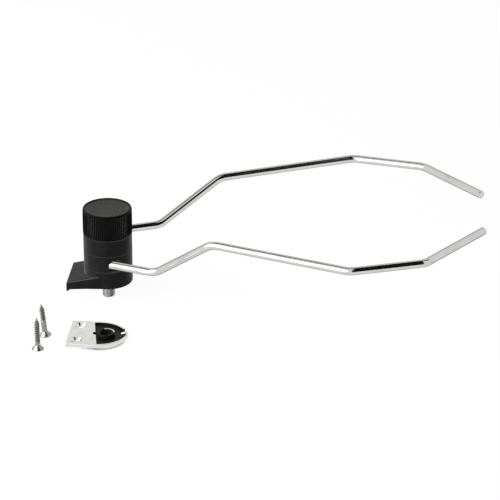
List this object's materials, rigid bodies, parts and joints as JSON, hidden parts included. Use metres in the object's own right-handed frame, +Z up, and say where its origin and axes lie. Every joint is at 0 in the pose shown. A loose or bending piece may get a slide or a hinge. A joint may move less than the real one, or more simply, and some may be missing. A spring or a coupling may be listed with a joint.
{
  "type": "rod holder",
  "caption": "Fishing rod holder: two bent wire arms form an open fork and swivel on a black turret clamped by a ribbed knob, with a separate deck plate and screws.",
  "frame": {"origin": "on the turret's axis, level with the underside of the foot, where the stud leaves it", "axes": "+Z up along the turret's axis towards the knob, -X along the tail towards its hook, arms reaching out along +X"},
  "size_m": [0.3357, 0.219, 0.0785],
  "materials": {
    "black_nylon": "fine moulded texture",
    "knob_plastic": "moulded ribs",
    "knob_cover": "satin moulded disc",
    "polished_wire": "polished stainless wire",
    "plain_steel": "plain stainless",
    "friction_rubber": "matt",
    "bright_plate": "mirror polished",
    "screw_steel": "plain stainless"
  },
  "bodies": {
    "root": {"base_foot": "black_nylon", "pivot_sleeve": "plain_steel", "lower_friction_disc": "friction_rubber", "clip_washer": "plain_steel", "deck_plate": "bright_plate", "plate_thread_bush": "bright_plate", "deck_screws": "screw_steel"},
    "lower_arm": {"lower_ring": "black_nylon", "lower_ring_cap": "black_nylon", "lower_arm": "polished_wire", "middle_friction_disc": "friction_rubber"},
    "upper_arm": {"upper_ring": "black_nylon", "upper_ring_cap": "black_nylon", "upper_arm": "polished_wire", "upper_friction_disc": "friction_rubber"},
    "knob": {"knob_shell": "knob_plastic", "knob_cover": "knob_cover", "clamp_bolt": "plain_steel", "thrust_washer": "plain_steel", "disc_spring": "plain_steel", "retaining_clip": "plain_steel"}
  },
  "joints": [
    {"name": "lower_arm_swing", "type": "hinge", "parent": "root", "child": "lower_arm", "pos_m": [0, 0, 0], "axis": [0, 0, 1], "range_deg": [-120, 5]},
    {"name": "upper_arm_swing", "type": "hinge", "parent": "root", "child": "upper_arm", "pos_m": [0, 0, 0], "axis": [0, 0, 1], "range_deg": [-5, 120]},
    {"name": "knob_turn", "type": "hinge", "parent": "root", "child": "knob", "pos_m": [0, 0, 0], "axis": [0, 0, 1], "continuous": true}
  ]
}
